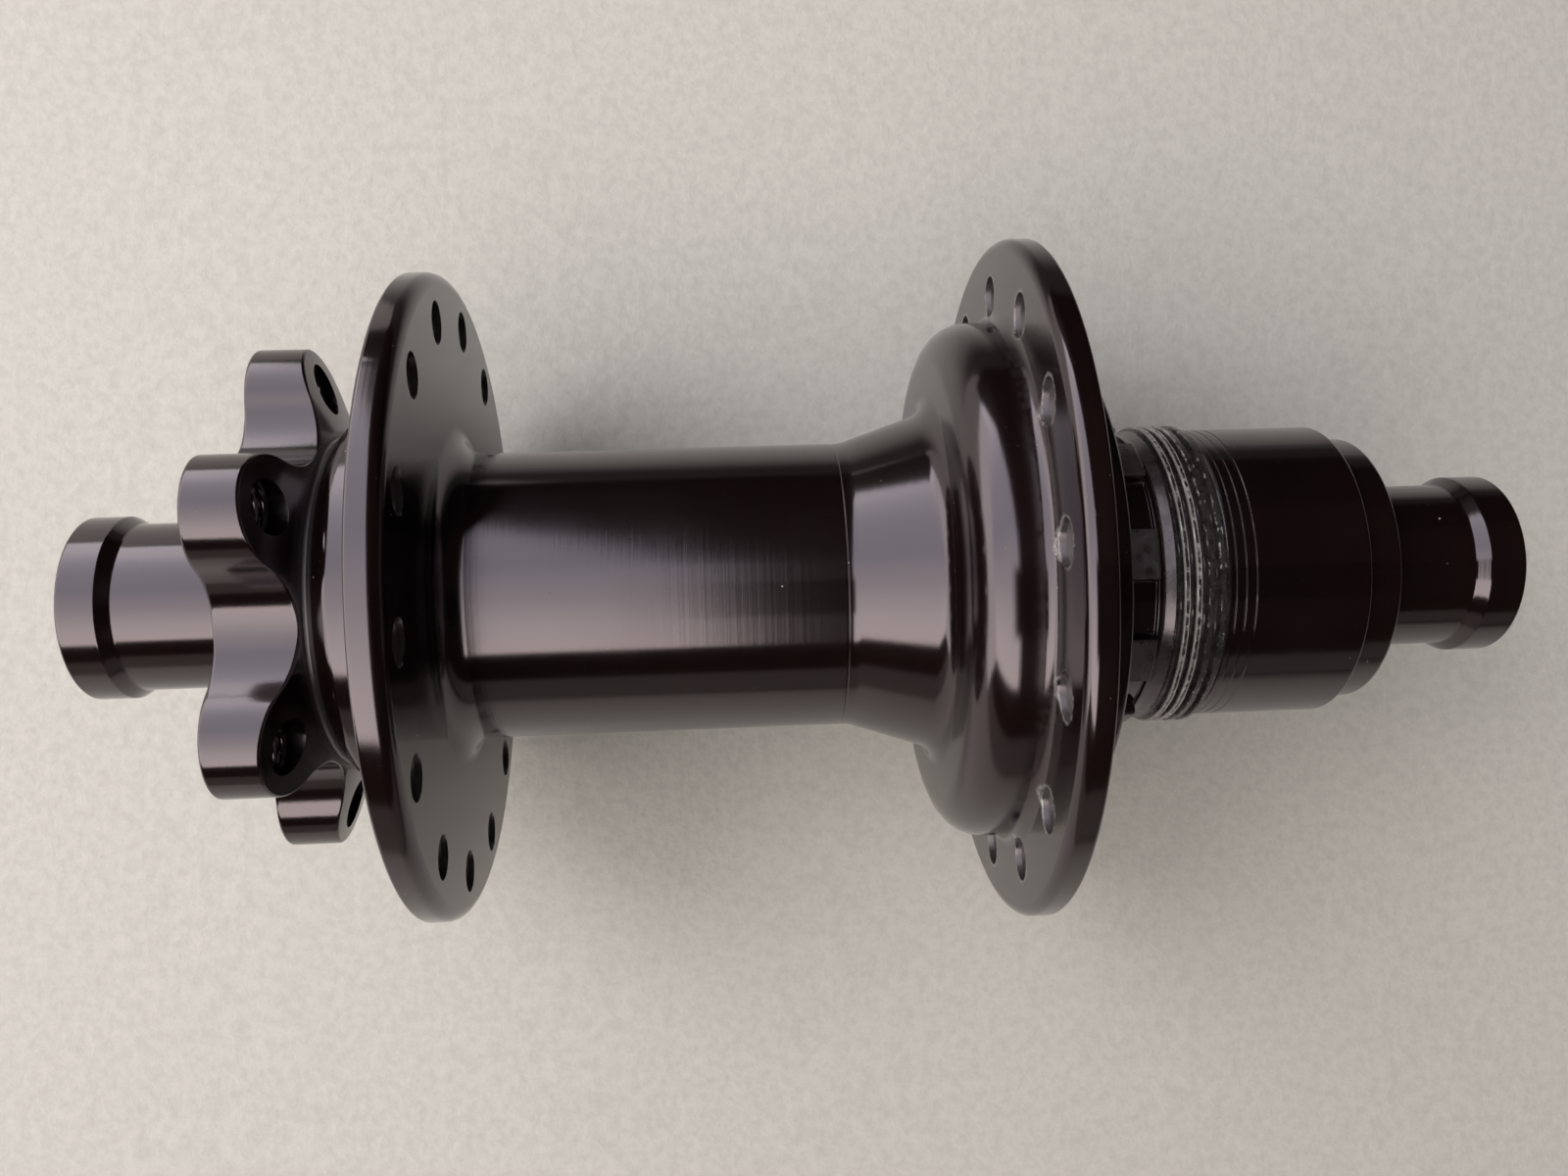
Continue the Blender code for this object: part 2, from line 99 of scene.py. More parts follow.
# ---- cassette driver ----
DRIVER_START = 16.0
CARRIER_R = 17.9
CARRIER_END = 23.2
DRIVER_NECK_R = 17.0
SPLINE_START = 28.8
SPLINE_END = 33.2
SPLINE_R = 16.1
SPLINE_ROOT_R = 14.7
SPLINES = 9
SPLINE_PHASE = 6.9
GROOVE_W = 6.0
RELIEF_R = 15.1
THREAD = (35.0, 40.2)
THREAD_CREST_R = 15.95
THREAD_ROOT_R = 15.3
THREAD_PITCH = 1.19
FIRST_CREST = 35.78  # where the thread first peaks, at the top of the hub
SLEEVE_R = 15.4
SLEEVE_LINES = (40.75, 41.75, 42.8)
SLEEVE_END = 54.5
STEP_R = 14.0
DRIVER_END = 58.3
PAWLS = 4
PAWL_POCKET = ((17.2, 22.6), (15.1, 19.0), (-3.0, 26.0))  # along the axle, across it, and round it

# ---- end caps ----
BORE_R = 6.15
CAP_SHAFT_R = 8.7
CAP_COLLAR_R = 9.5
CAP_SHAFT_END = 69.0
CAP_COLLAR = 70.2


# ---- outlines ----
def rounded(corners, steps=6):
    """The path through (a, r, fillet) corners; a corner with no fillet stays sharp."""
    path = []
    for number, corner in enumerate(corners):
        here = Vector(corner[:2])
        fillet = corner[2] if len(corner) > 2 else 0.0
        if not fillet or number in (0, len(corners) - 1):
            path.append(here)
            continue
        before = (Vector(corners[number - 1][:2]) - here).normalized()
        after = (Vector(corners[number + 1][:2]) - here).normalized()
        half = before.angle(after) / 2
        middle = here + (before + after).normalized() * fillet / math.sin(half)
        start = here + before * fillet / math.tan(half) - middle
        end = here + after * fillet / math.tan(half) - middle
        sweep = start.angle_signed(end)
        for step in range(steps + 1):
            path.append(middle + Matrix.Rotation(-sweep * step / steps, 2) @ start)
    return [tuple(point) for point in path]


def groove(a, r, width, depth):
    """A fine turned groove in a cylinder, passed from the drive side to the disc side."""
    return [
        (a + width * 0.5, r, 0.05),
        (a + width * 0.2, r - depth, 0.03),
        (a - width * 0.2, r - depth, 0.03),
        (a - width * 0.5, r, 0.05),
    ]


def ring_of(count, phase):
    """Angles evenly spaced round the axle, from the first one."""
    return [phase + 360.0 * number / count for number in range(count)]


def place(a, r, angle):
    """A point of the scene, in metres."""
    turn = math.radians(angle)
    return (r * math.sin(turn) * MM, -a * MM, r * math.cos(turn) * MM)


def lobed_stations(steps=14):
    """(angle, radius) round the rotor mount's outline: round lobes joined by hollows tangent to both."""
    centre = LOBE_TIP - LOBE_R
    half = math.radians(180.0 / BOLTS)
    hollow = (centre**2 + VALLEY_R**2 - 2 * centre * VALLEY_R * math.cos(half) - LOBE_R**2) / (
        2 * (LOBE_R - VALLEY_R + centre * math.cos(half))
    )
    far = VALLEY_R + hollow
    touch = math.atan2(far * math.sin(half), far * math.cos(half) - centre)
    stations = []
    for middle in ring_of(BOLTS, BOLT_PHASE):
        for step in range(-steps, steps + 1):
            turn = touch * step / steps
            x, y = centre + LOBE_R * math.cos(turn), LOBE_R * math.sin(turn)
            stations.append((middle + math.degrees(math.atan2(y, x)), math.hypot(x, y)))
        for step in range(1 - steps, steps):
            turn = (half - touch) * step / steps
            x, y = far - hollow * math.cos(turn), -hollow * math.sin(turn)
            stations.append((middle + 180.0 / BOLTS + math.degrees(math.atan2(y, x)), math.hypot(x, y)))
    return stations


# ---- meshes ----
def finish_piece(name, mesh, paint, body, nodes):
    """Puts a mesh in the scene, riding on a body and standing in for that body's CAD nodes."""
    mesh.materials.append(paint)
    mesh.shade_smooth()
    mesh.set_sharp_from_angle(angle=math.radians(34))
    made = bpy.data.objects.new(name, mesh)
    bpy.context.scene.collection.objects.link(made)
    level = made.modifiers.new("even_shading", "WEIGHTED_NORMAL")
    level.keep_sharp = True
    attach(made, body)
    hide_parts(*nodes)


def lathe(name, stations):
    """A closed body from (angle, closed outline) stations, which all have the same number of points."""
    count = len(stations[0][1])
    points = [place(a, r, angle) for angle, outline in stations for a, r in outline]
    faces = []
    for number in range(len(stations)):
        here, there = number * count, (number + 1) % len(stations) * count
        for step in range(count):
            after = (step + 1) % count
            faces.append((here + step, here + after, there + after, there + step))
    mesh = bpy.data.meshes.new(name)
    mesh.from_pydata(points, [], faces)
    outward(mesh)
    return mesh


def outward(mesh):
    """Turns every face of a closed mesh outwards."""
    total = 0.0
    for face in mesh.polygons:
        total += face.center.dot(face.normal) * face.area
    if total < 0:
        mesh.flip_normals()


def turned(name, outline, segments=192):
    return lathe(name, [(360.0 * step / segments, outline) for step in range(segments)])


def drill(outline, places, segments=28):
    """Closed cutters parallel to the axle: (a, radius) outlines from end to end, at (r, angle) places.
    A radius may be a function of the turn round the drill, which makes a threaded hole."""
    points, faces = [], []
    for r, angle in places:
        start = len(points)
        middle = Vector(place(0.0, r, angle))
        for a, radius in outline:
            for step in range(segments):
                size = radius(step / segments) if callable(radius) else radius
                around = Vector(place(0.0, size, 360.0 * step / segments))
                points.append(tuple(middle + around + Vector((0.0, -a * MM, 0.0))))
        for row in range(len(outline) - 1):
            for step in range(segments):
                after = (step + 1) % segments
                low, high = start + row * segments, start + (row + 1) * segments
                faces.append((low + step, low + after, high + after, high + step))
        last = start + (len(outline) - 1) * segments
        faces.append(tuple(reversed(range(start, start + segments))))
        faces.append(tuple(range(last, last + segments)))
    return points, faces


def pocket(span, radii, angles, steps=8):
    """A closed cutter: a slice of a ring."""
    section = [(span[0], radii[0]), (span[1], radii[0]), (span[1], radii[1]), (span[0], radii[1])]
    points, faces = [], [(3, 2, 1, 0)]
    for step in range(steps + 1):
        angle = angles[0] + (angles[1] - angles[0]) * step / steps
        points += [place(a, r, angle) for a, r in section]
    for start in range(0, 4 * steps, 4):
        for side in range(4):
            after = (side + 1) % 4
            faces.append((start + side, start + after, start + 4 + after, start + 4 + side))
    faces.append(tuple(range(4 * steps, 4 * steps + 4)))
    return points, faces


def cut(mesh, cutters):
    """Takes closed cutters out of a mesh, and returns the new mesh."""
    points, faces = [], []
    for more_points, more_faces in cutters:
        shift = len(points)
        points += more_points
        faces += [tuple(corner + shift for corner in face) for face in more_faces]
    tool_mesh = bpy.data.meshes.new("tool")
    tool_mesh.from_pydata(points, [], faces)
    outward(tool_mesh)
    tool = bpy.data.objects.new("tool", tool_mesh)
    blank = bpy.data.objects.new("blank", mesh)
    for made in (tool, blank):
        bpy.context.scene.collection.objects.link(made)
    carve = blank.modifiers.new("carve", "BOOLEAN")
    carve.solver = "EXACT"
    carve.object = tool
    graph = bpy.context.evaluated_depsgraph_get()
    result = bpy.data.meshes.new_from_object(blank.evaluated_get(graph))
    for made in (tool, blank):
        bpy.data.objects.remove(made)
    return result


# ---- hub shell ----
def tapped_outline(steps=8):
    """The drill outline of a rotor bolt's hole: countersunk, threaded, then smooth to its back."""
    start = ROTOR_FACE + 0.35
    outline = [(ROTOR_FACE - 1.0, 3.6), (start, BOLT_MOUTH_R)]
    for step in range(1, round((BOLT_THREAD_END - start) / BOLT_PITCH * steps) + 1):
        along = step / steps

        def ridge(turn, along=along):
            phase = (along - turn) % 1.0
            depth = min(1.0, max(0.0, 2.4 * abs(phase - 0.5) - 0.1))
            return BOLT_CREST_R + (BOLT_ROOT_R - BOLT_CREST_R) * depth

        outline.append((start + BOLT_PITCH * along, ridge))
    return outline + [(BOLT_THREAD_END + 0.25, 2.6), (-47.5, 2.6)]


def shell_mesh():
    disc_out, disc_in = DISC_FLANGE
    drive_in, drive_out = DRIVE_FLANGE
    outside = [(BOSS_END - 0.2, RATCHET_SEAT_R), (BOSS_END, RATCHET_SEAT_R + 0.2)]
    outside += [(BOSS_END, BOSS_R, 0.6), (drive_out, BOSS_R, 0.6)]
    outside += [(drive_out, DRIVE_FLANGE_R, 0.4), (drive_in, DRIVE_FLANGE_R, 1.1), (drive_in, BELL_R, 1.3)]
    outside += [(BELL_FACE, BELL_R, 4.1), (BELL_FACE, CONE_R, 2.6), (CONE_START, BARREL_R, 3.0)]
    outside += groove(BARREL_LINE, BARREL_R, 0.3, 0.09)
    outside += [(disc_in, BARREL_R, 2.8), (disc_in, DISC_FLANGE_R, 1.35), (disc_out, DISC_FLANGE_R, 0.4)]
    outside += [(disc_out, NECK_R, 0.6), (*NECK_END, 1.1), (*NECK_BOTTOM, 0.35)]
    outside += [(BACK_START[0] + 0.03, BACK_START[1] - 0.13), BACK_START]
    bore = [(ROTOR_FACE, BEARING_SEAT_R + 0.3), (ROTOR_FACE + 0.3, BEARING_SEAT_R)]
    bore += [(SHELL_SEATS[0], BEARING_SEAT_R), (SHELL_SEATS[0], SHELL_BORE_R)]
    bore += [(SHELL_SEATS[1], SHELL_BORE_R), (SHELL_SEATS[1], BEARING_SEAT_R)]
    bore += [(RATCHET_SEAT[0], BEARING_SEAT_R), (RATCHET_SEAT[1], RATCHET_SEAT_R)]
    fixed = rounded(outside)
    stations = []
    for angle, radius in lobed_stations():
        edge = min(0.4, 0.4 * (radius - BACK_START[1]))
        back = BACK_START[0] - BACK_SLOPE * (radius - BACK_START[1])
        lobe = [fixed[-1], (back, radius, edge), (ROTOR_FACE, radius, edge), bore[0]]
        stations.append((angle, fixed + rounded(lobe, 4)[1:-1] + bore))
    blank = lathe("hub_shell_turned", stations)
    bolts = [(BOLT_CIRCLE_R, angle) for angle in ring_of(BOLTS, BOLT_PHASE)]
    cutters = [drill(tapped_outline(), bolts)]
    mouth = [(-0.2, SPOKE_MOUTH_R + 0.1), (0.1, SPOKE_MOUTH_R)]
    mouth += [(0.6, SPOKE_MOUTH_R - 0.12), (1.05, SPOKE_HOLE_R)]
    for (low, high), (radius, phase) in ((DISC_FLANGE, DISC_SPOKE), (DRIVE_FLANGE, DRIVE_SPOKE)):
        through = [(low + depth, size) for depth, size in mouth]
        through += [(high - depth, size) for depth, size in reversed(mouth)]
        cutters.append(drill(through, [(radius, angle) for angle in ring_of(SPOKES, phase)]))
    return cut(blank, cutters)


# ---- cassette driver ----
def spline_stations():
    """(angle, radius) round the splines: lugs with rounded shoulders, and flat-sided grooves."""
    half = math.degrees(math.asin(0.5 * GROOVE_W / SPLINE_R))
    pitch = 360.0 / SPLINES
    stations = []
    for middle in ring_of(SPLINES, SPLINE_PHASE + pitch / 2):
        floor_half = half - 1.1
        for step in range(-6, 7):
            stations.append((middle + floor_half * step / 6, SPLINE_ROOT_R))
        rise = SPLINE_R - SPLINE_ROOT_R
        for turn, part in ((-0.55, 0.06), (-0.2, 0.2), (-0.05, 0.5), (0.05, 0.72), (0.3, 0.9), (0.75, 1.0)):
            stations.append((middle + half + turn, SPLINE_ROOT_R + rise * part))
        lug = pitch - 2 * half - 1.5
        for step in range(1, 9):
            stations.append((middle + half + 0.75 + lug * step / 9, SPLINE_R))
        for turn, part in ((-0.75, 1.0), (-0.3, 0.9), (-0.05, 0.72), (0.05, 0.5), (0.2, 0.2), (0.55, 0.06)):
            stations.append((middle + pitch - half + turn, SPLINE_ROOT_R + rise * part))
    return stations


def thread_radius(a, angle):
    phase = ((a - FIRST_CREST) / THREAD_PITCH + angle / 360.0 + 0.5) % 1.0
    height = min(1.0, max(0.0, (0.36 - abs(phase - 0.5)) / 0.15))
    fade = min(1.0, max(0.0, (a - THREAD[0]) / 0.3), max(0.0, (THREAD[1] - a) / 0.5))
    return THREAD_ROOT_R + (THREAD_CREST_R - THREAD_ROOT_R) * height * fade


def driver_mesh():
    tail = [(DRIVER_END, OUTBOARD_SEAT_R + 0.2), (DRIVER_END, STEP_R, 0.5)]
    tail += [(SLEEVE_END, STEP_R, 0.25), (SLEEVE_END, SLEEVE_R, 0.4)]
    for line in reversed(SLEEVE_LINES):
        tail += groove(line, SLEEVE_R, 0.28, 0.08)
    tail.append((THREAD[1] + 0.1, SLEEVE_R))
    tail_path = rounded(tail)
    rings = 78
    hidden = [(SPLINE_START, DRIVER_NECK_R), (CARRIER_END, DRIVER_NECK_R), (CARRIER_END, CARRIER_R)]
    hidden += [(DRIVER_START, CARRIER_R), (DRIVER_START, BEARING_SEAT_R), (DRIVER_SEATS[0], BEARING_SEAT_R)]
    hidden += [(DRIVER_SEATS[0], DRIVER_BORE_R), (DRIVER_SEATS[1], DRIVER_BORE_R)]
    hidden += [(DRIVER_SEATS[1], OUTBOARD_SEAT_R), (DRIVER_END - 0.2, OUTBOARD_SEAT_R)]
    stations = []
    for angle, radius in spline_stations():
        path = list(tail_path)
        for ring in range(rings + 1):
            a = THREAD[1] + (THREAD[0] - THREAD[1]) * ring / rings
            path.append((a, thread_radius(a, angle)))
        lug = [path[-1], (THREAD[0] - 0.12, RELIEF_R + 0.4, 0.08), (THREAD[0] - 1.05, RELIEF_R, 0.2)]
        lug.append((SPLINE_END, RELIEF_R, 0.12))
        edge = 0.3 * min(1.0, abs(radius - RELIEF_R))
        lug += [(SPLINE_END, radius, edge), (SPLINE_START, radius, 0.1), (SPLINE_START, DRIVER_NECK_R)]
        path += rounded(lug, 4)[1:-1]
        stations.append((angle, path + hidden))
    span, radii, angles = PAWL_POCKET
    pockets = [pocket(span, radii, (angles[0] + turn, angles[1] + turn)) for turn in ring_of(PAWLS, 0.0)]
    return cut(lathe("cassette_driver_turned", stations), pockets)


# ---- end caps ----
def cap_mesh(side, inner_end):
    seat_end, seat_r = CAP_SEAT
    outline = [(inner_end, seat_r), (inner_end, CAP_SHAFT_R, 0.2), (CAP_SHAFT_END, CAP_SHAFT_R, 0.7)]
    outline += [(CAP_COLLAR, CAP_COLLAR_R, 0.45), (HALF_WIDTH, CAP_COLLAR_R, 0.35)]
    outline += [(HALF_WIDTH, BORE_R, 0.3), (seat_end, BORE_R), (seat_end, seat_r)]
    path = rounded(outline)
    return turned("end_cap_turned", [(side * a, r) for a, r in path])


# ---- materials ----
class Graph:
    """A node material, written as nested calls."""

    def __init__(self, name):
        self.material = bpy.data.materials.new(name)
        self.material.use_nodes = True
        self.tree = self.material.node_tree
        self.shader = self.tree.nodes["Principled BSDF"]

    def node(self, kind, output=0, inputs=None, **settings):
        made = self.tree.nodes.new("ShaderNode" + kind)
        for key, value in settings.items():
            setattr(made, key, value)
        for key, value in (inputs or {}).items():
            self.feed(made.inputs[key], value)
        return made.outputs[output]

    def feed(self, socket, value):
        if isinstance(value, bpy.types.NodeSocket):
            self.tree.links.new(value, socket)
        else:
            socket.default_value = value

    def math(self, operation, *values):
        return self.node("Math", inputs=dict(enumerate(values)), operation=operation)

    def ramp(self, value, low, high):
        return self.node("MapRange", inputs={0: value, 1: low, 2: high}, interpolation_type="SMOOTHSTEP")

    def mix(self, factor, first, second):
        return self.node("Mix", 2, {0: factor, 6: first, 7: second}, data_type="RGBA")

    def blend(self, factor, first, second):
        return self.node("Mix", 0, {0: factor, 2: first, 3: second})

    def noise(self, vector, scale, detail=2.0, roughness=0.5):
        inputs = {"Vector": vector, "Scale": scale, "Detail": detail, "Roughness": roughness}
        return self.node("TexNoise", inputs=inputs)

    def sides(self, vector):
        """Sockets for a vector's x, y and z."""
        parts = self.tree.nodes.new("ShaderNodeSeparateXYZ")
        self.feed(parts.inputs[0], vector)
        return parts.outputs

    def here(self):
        """A socket for the place on the object, in millimetres."""
        return self.node("VectorMath", inputs={0: self.node("TexCoord", 3), 3: 1 / MM}, operation="SCALE")

    def polar(self):
        """Sockets for the place, a, r and the angle (in turns), with lengths in millimetres."""
        point = self.here()
        x, y, z = self.sides(point)
        flat = self.node("CombineXYZ", inputs={0: x, 2: z})
        radius = self.node("VectorMath", 1, {0: flat}, operation="LENGTH")
        turn = self.math("DIVIDE", self.math("ARCTAN2", x, z), 2 * math.pi)
        return point, self.math("MULTIPLY", y, -1.0), radius, turn

    def rings(self, a, radius, scale, detail=3.0):
        """Noise that is the same all the way round the axle, as a lathe's tool leaves it."""
        return self.noise(self.node("CombineXYZ", inputs={0: a, 1: radius}), scale, detail, 0.6)

    def specks(self, point, scale, size):
        """Small scattered dots: 1 on a dot, 0 elsewhere."""
        cell = self.tree.nodes.new("ShaderNodeTexVoronoi")
        self.feed(cell.inputs["Vector"], point)
        self.feed(cell.inputs["Scale"], scale)
        chosen = self.math("SUBTRACT", self.node("SeparateColor", 0, {0: cell.outputs["Color"]}), 0.6)
        reach = self.math("MULTIPLY", chosen, 2.5 * size)
        gap = self.math("SUBTRACT", reach, cell.outputs["Distance"])
        return self.ramp(gap, 0.0, 0.25 * size)

    def bump(self, height, distance, strength=1.0, normal=None):
        inputs = {"Height": height, "Distance": distance * MM, "Strength": strength}
        if normal:
            inputs["Normal"] = normal
        return self.node("Bump", inputs=inputs)

    def paint(self, **sockets):
        for key, value in sockets.items():
            self.feed(self.shader.inputs[key.replace("_", " ")], value)
        return self.material


def near_holes(graph, a, radius, turn, flange, spoke, outer, inner):
    """0 beyond the outer distance from a spoke hole's mouth, and 1 within the inner one."""
    circle, phase = spoke
    pitches = graph.math("MULTIPLY", turn, SPOKES)
    local = graph.math("FRACT", graph.math("ADD", pitches, 0.5 - phase * SPOKES / 360.0))
    across = graph.math("MULTIPLY", graph.math("SUBTRACT", local, 0.5), 2 * math.pi * circle / SPOKES)
    away = graph.math("SUBTRACT", radius, circle)
    squares = graph.math("ADD", graph.math("POWER", across, 2.0), graph.math("POWER", away, 2.0))
    distance = graph.math("SQRT", squares)
    near = graph.ramp(distance, SPOKE_MOUTH_R + outer, SPOKE_MOUTH_R + inner)
    middle = 0.5 * (flange[0] + flange[1])
    there = graph.math("LESS_THAN", graph.math("ABSOLUTE", graph.math("SUBTRACT", a, middle)), 2.0)
    return graph.math("MULTIPLY", near, there)


def anodised(name, wear=None, dust_and_shade_film=None, grime=0.3, bare=(0.52, 0.50, 0.48, 1.0)):
    """Black anodised aluminium, turned: near-black, glossy round the axle and blurred along it."""
    graph = Graph(name)
    point, a, radius, turn = graph.polar()
    coarse = graph.rings(a, radius, 1.6)
    fine = graph.rings(a, radius, 11.0)
    cloud = graph.noise(point, 0.09, 4.0)
    around = graph.node("CombineXYZ", inputs={0: a, 1: radius, 2: graph.math("MULTIPLY", turn, 3.0)})
    film = graph.noise(around, 0.35, 3.0)
    dust = graph.specks(point, 0.42, 0.05)
    grain = graph.specks(point, 1.1, 0.06)
    colour = graph.mix(film, (0.0022, 0.0008, 0.0010, 1.0), (0.0040, 0.0016, 0.0014, 1.0))
    smudge = graph.math("MULTIPLY", graph.ramp(cloud, 0.45, 0.75), 0.10 * grime)
    roughness = graph.math("ADD", graph.blend(fine, 0.10, 0.17), smudge)
    metal = 0.0
    # A dull film: dust, and on the shell also painted shade in its spoke holes and the neck's crease.
    if dust_and_shade_film:
        dull = dust_and_shade_film(graph, point, a, radius, turn)
        colour = graph.mix(dull, colour, (0.028, 0.026, 0.025, 1.0))
        roughness = graph.blend(dull, roughness, 0.42)
    if wear:
        worn = wear(graph, point, a, radius, turn)
        colour = graph.mix(worn, colour, bare)
        roughness = graph.blend(worn, roughness, 0.36)
        metal = graph.math("MULTIPLY", worn, 0.6)
    dirt = graph.math("MAXIMUM", dust, graph.math("MULTIPLY", grain, 0.6))
    colour = graph.mix(graph.math("MULTIPLY", dirt, 0.8), colour, (0.36, 0.33, 0.30, 1.0))
    roughness = graph.blend(dirt, roughness, 0.75)
    normal = graph.bump(fine, 0.0035)
    normal = graph.bump(coarse, 0.006, normal=normal)
    normal = graph.bump(dirt, 0.02, normal=normal)
    tangent = graph.node("Tangent", direction_type="RADIAL", axis="Y")
    return graph.paint(
        Base_Color=colour,
        Metallic=metal,
        Roughness=roughness,
        IOR=1.77,
        Specular_Tint=(1.0, 0.87, 0.94, 1.0),
        Anisotropic=0.55,
        Anisotropic_Rotation=0.25,
        Tangent=tangent,
        Normal=normal,
    )


def shell_wear(graph, point, a, radius, turn):
    """Scuffs that the spokes left beside the drive flange's holes."""
    chips = graph.noise(point, 1.1, 5.0, 0.72)
    patches = graph.math("MULTIPLY", graph.noise(point, 0.22, 2.0), 0.6)
    near = near_holes(graph, a, radius, turn, DRIVE_FLANGE, DRIVE_SPOKE, 1.2, 0.1)
    inside = near_holes(graph, a, radius, turn, DRIVE_FLANGE, DRIVE_SPOKE, 0.03, -0.03)
    rim = graph.math("SUBTRACT", near, inside)
    return graph.ramp(graph.math("ADD", graph.math("ADD", rim, chips), patches), 1.62, 1.98)


def shell_dust_and_shade(graph, point, a, radius, turn):
    """A dull film: dust at the drive flange's root; painted shade in the spoke holes; partly dust and partly
    painted shade in the bottom of the neck.
    """
    cloud = graph.ramp(graph.noise(point, 1.3, 5.0, 0.7), 0.35, 0.72)
    root = graph.math("MULTIPLY", graph.ramp(radius, 29.2, 28.2), graph.ramp(a, 17.9, 18.9))
    root = graph.math("MULTIPLY", root, graph.math("LESS_THAN", a, 20.2))
    # Painted shade and dust: the dull film dims the crease at the bottom of the neck.
    low = graph.math("MULTIPLY", graph.ramp(a, -46.5, -47.1), graph.ramp(a, -48.6, -48.0))
    low = graph.math("MULTIPLY", low, graph.ramp(radius, 17.9, 17.5))
    # Painted shade: the dull film dims the reflections inside the spoke holes.
    disc = near_holes(graph, a, radius, turn, DISC_FLANGE, DISC_SPOKE, 0.04, -0.02)
    drive = near_holes(graph, a, radius, turn, DRIVE_FLANGE, DRIVE_SPOKE, 0.04, -0.02)
    film = graph.math("MAXIMUM", graph.math("MULTIPLY", graph.math("MULTIPLY", root, cloud), 0.4), low)
    return graph.math("MULTIPLY", graph.math("MAXIMUM", film, graph.math("MAXIMUM", disc, drive)), 0.7)


def thread_wear(graph, point, a, radius, turn):
    """Bare metal on the thread: bright along the first crests' corners, and in specks on the later ones."""
    rub = graph.noise(point, 1.4, 4.0, 0.65)
    early = graph.ramp(a, 37.9, 37.4)
    along = graph.math("DIVIDE", graph.math("SUBTRACT", a, FIRST_CREST), THREAD_PITCH)
    local = graph.math("FRACT", graph.math("ADD", graph.math("ADD", along, turn), 0.5))
    corner = graph.ramp(graph.math("ABSOLUTE", graph.math("SUBTRACT", local, 0.5)), 0.08, 0.17)
    late_crest = graph.blend(corner, 0.08, 0.19)
    first_crest = graph.blend(corner, 0.22, 0.52)
    bare = graph.ramp(graph.math("ADD", rub, graph.blend(early, late_crest, first_crest)), 0.72, 0.92)
    up = graph.ramp(radius, 15.70, 15.88)
    there = graph.math("MULTIPLY", graph.ramp(a, 34.9, 35.3), graph.ramp(a, 40.3, 40.0))
    return graph.math("MULTIPLY", graph.math("MULTIPLY", bare, up), there)


def spline_dust(graph, point, a, radius, turn):
    """A dull film on the lugs, the thread's flanks and the cone that leads into it."""
    cloud = graph.ramp(graph.noise(point, 0.8, 5.0, 0.65), 0.25, 0.75)
    lugs = graph.math("MULTIPLY", graph.ramp(radius, 15.7, 16.0), graph.ramp(a, 33.3, 33.1))
    thread = graph.math("MULTIPLY", graph.ramp(a, 34.6, 35.4), graph.ramp(a, 40.4, 40.0))
    start = graph.math("MULTIPLY", graph.ramp(a, 33.6, 33.9), graph.ramp(a, 35.2, 35.0))
    there = graph.math("MAXIMUM", lugs, graph.math("MULTIPLY", graph.math("MAXIMUM", thread, start), 0.7))
    return graph.math("MULTIPLY", there, graph.blend(cloud, 0.35, 1.0))


def metal(name, colour, roughness, lines=True, variation=0.25):
    """Bare machined metal, with turning marks and a little tarnish."""
    graph = Graph(name)
    point, a, radius, _ = graph.polar()
    fine = graph.rings(a, radius, 9.0) if lines else graph.noise(point, 3.0, 6.0, 0.6)
    cloud = graph.noise(point, 0.3, 5.0, 0.6)
    dark = tuple(part * (1.0 - variation) for part in colour) + (1.0,)
    shade = graph.mix(graph.ramp(cloud, 0.35, 0.75), (*colour, 1.0), dark)
    rough = graph.blend(fine, 0.75 * roughness, 1.35 * roughness)
    brushed = 0.4 if lines else 0.0
    normal = graph.bump(fine, 0.004)
    return graph.paint(Base_Color=shade, Metallic=1.0, Roughness=rough, Anisotropic=brushed, Normal=normal)


def rubber(name):
    """Black rubber with pale dust in patches."""
    graph = Graph(name)
    point = graph.here()
    fine = graph.noise(point, 7.0, 4.0, 0.6)
    dust = graph.ramp(graph.noise(point, 0.5, 5.0, 0.7), 0.55, 0.85)
    pale = graph.math("MULTIPLY", dust, 0.4)
    shade = graph.mix(pale, (0.012, 0.012, 0.012, 1.0), (0.10, 0.09, 0.08, 1.0))
    rough = graph.blend(dust, 0.48, 0.8)
    return graph.paint(Base_Color=shade, Roughness=rough, Normal=graph.bump(fine, 0.02))


# ---- the pieces ----
shell_black = anodised("shell_black", shell_wear, shell_dust_and_shade, bare=(0.20, 0.19, 0.18, 1.0))
driver_black = anodised("driver_black", thread_wear, spline_dust, grime=0.8)
cap_black = anodised("cap_black")

finish_piece("hub_shell_detailed", shell_mesh(), shell_black, "shell", ["hub_shell"])
finish_piece(
    "cassette_driver_detailed", driver_mesh(), driver_black, "driver", ["cassette_driver"]
)
for side, node, inner_end in ((-1, "end_cap_disc_side", 54.1), (1, "end_cap_drive_side", 58.3)):
    finish_piece(node + "_detailed", cap_mesh(side, inner_end), cap_black, "axle", [node])

finishes = {
    "bare_aluminium": metal("bare_aluminium_machined", (0.78, 0.78, 0.80), 0.28),
    "bearing_steel": metal("bearing_steel_ground", (0.60, 0.60, 0.62), 0.14, variation=0.12),
    "tool_steel": metal("tool_steel_hardened", (0.34, 0.33, 0.33), 0.34, lines=False),
    "spring_steel": metal("spring_steel_rolled", (0.44, 0.45, 0.50), 0.24, lines=False),
    "black_rubber": rubber("black_rubber_moulded"),
    "black_anodised": anodised("black_anodised_hidden"),
}
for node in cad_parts.values():
    for slot in node.material_slots:
        plain = slot.material.name.split(".")[0] if slot.material else "black_anodised"
        slot.material = finishes[plain]


